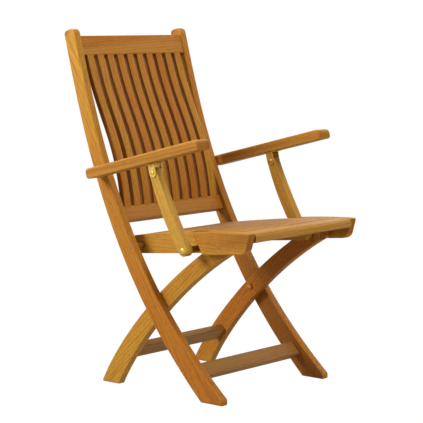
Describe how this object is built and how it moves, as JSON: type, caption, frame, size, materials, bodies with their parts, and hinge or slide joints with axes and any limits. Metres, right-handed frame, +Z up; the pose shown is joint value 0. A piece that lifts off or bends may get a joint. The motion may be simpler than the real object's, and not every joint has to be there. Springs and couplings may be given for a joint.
{
  "type": "folding armchair",
  "caption": "Folding teak armchair with curved crossing legs, slatted seat and back, and arms on swinging supports.",
  "frame": {"origin": "middle of the rectangle of floor that the open chair covers", "axes": "+Z up, -Y the way the sitter faces, +X the sitter's left"},
  "size_m": [0.521, 0.6114, 0.8993],
  "materials": {
    "teak": "oiled golden-brown teak, planed, with eased edges",
    "teak_light": "oiled yellow sapwood teak",
    "teak_plug": "dark plugs of teak end grain",
    "brass": "satin brass, slightly dulled",
    "steel": "stainless bolts under plugs"
  },
  "bodies": {
    "back_frame": {"top_rail": "teak", "lower_rail": "teak", "front_stretcher": "teak", "back_slat_01": "teak", "back_slat_02": "teak", "back_slat_03": "teak", "back_slat_04": "teak", "back_slat_05": "teak", "back_slat_06": "teak", "back_slat_07": "teak", "back_slat_08": "teak", "back_slat_09": "teak", "back_slat_10": "teak", "stile_right": "teak", "seat_pivot_plug_right": "teak_plug", "leg_pivot_plug_right": "teak_plug", "seat_pivot_bolt_right": "steel", "leg_pivot_bolt_right": "steel", "seat_pivot_spacer_right": "teak", "arm_pivot_bolt_right": "brass", "stile_left": "teak", "seat_pivot_plug_left": "teak_plug", "leg_pivot_plug_left": "teak_plug", "seat_pivot_bolt_left": "steel", "leg_pivot_bolt_left": "steel", "seat_pivot_spacer_left": "teak", "arm_pivot_bolt_left": "brass"},
    "cross_legs": {"rear_stretcher": "teak", "leg_top_rod": "teak", "cross_leg_right": "teak", "cross_leg_left": "teak"},
    "seat": {"seat_slat_1": "teak", "seat_slat_2": "teak", "seat_slat_3": "teak", "seat_slat_4": "teak", "seat_slat_5": "teak", "seat_slat_6": "teak", "seat_slat_7": "teak", "seat_front_slat": "teak", "seat_rail_right": "teak", "seat_cheek_right": "teak", "seat_cheek_plug_right": "teak_plug", "support_pivot_bolt_right": "brass", "support_spacer_right": "teak", "seat_rail_left": "teak", "seat_cheek_left": "teak", "seat_cheek_plug_left": "teak_plug", "support_pivot_bolt_left": "brass", "support_spacer_left": "teak"},
    "arm_right": {"armrest_right": "teak", "arm_bracket_right": "brass", "bracket_rivet_right": "brass"},
    "arm_left": {"armrest_left": "teak", "arm_bracket_left": "brass", "bracket_rivet_left": "brass"},
    "support_right": {"arm_support_right": "teak_light"},
    "support_left": {"arm_support_left": "teak_light"}
  },
  "joints": [
    {"name": "seat_fold", "type": "hinge", "parent": "back_frame", "child": "seat", "pos_m": [0, 0.07927, 0.36], "axis": [-1, 0, 0], "range_deg": [0, 88]},
    {"name": "leg_scissor", "type": "hinge", "parent": "back_frame", "child": "cross_legs", "pos_m": [0, 0.00427, 0.223], "axis": [-1, 0, 0], "range_deg": [0, 61.7]},
    {"name": "arm_fold_right", "type": "hinge", "parent": "back_frame", "child": "arm_right", "pos_m": [0, 0.17427, 0.542], "axis": [-1, 0, 0], "range_deg": [0, 88]},
    {"name": "arm_fold_left", "type": "hinge", "parent": "back_frame", "child": "arm_left", "pos_m": [0, 0.17427, 0.542], "axis": [-1, 0, 0], "range_deg": [0, 88]},
    {"name": "support_swing_right", "type": "hinge", "parent": "seat", "child": "support_right", "pos_m": [0, -0.11873, 0.371], "axis": [1, 0, 0], "range_deg": [0, 88]},
    {"name": "support_swing_left", "type": "hinge", "parent": "seat", "child": "support_left", "pos_m": [0, -0.11873, 0.371], "axis": [1, 0, 0], "range_deg": [0, 88]}
  ],
  "couplings": [
    {"joint": "leg_scissor", "follows": "seat_fold", "ratio": 0.7},
    {"joint": "arm_fold_right", "follows": "seat_fold", "ratio": 1},
    {"joint": "arm_fold_left", "follows": "seat_fold", "ratio": 1},
    {"joint": "support_swing_right", "follows": "seat_fold", "ratio": 1},
    {"joint": "support_swing_left", "follows": "seat_fold", "ratio": 1}
  ]
}
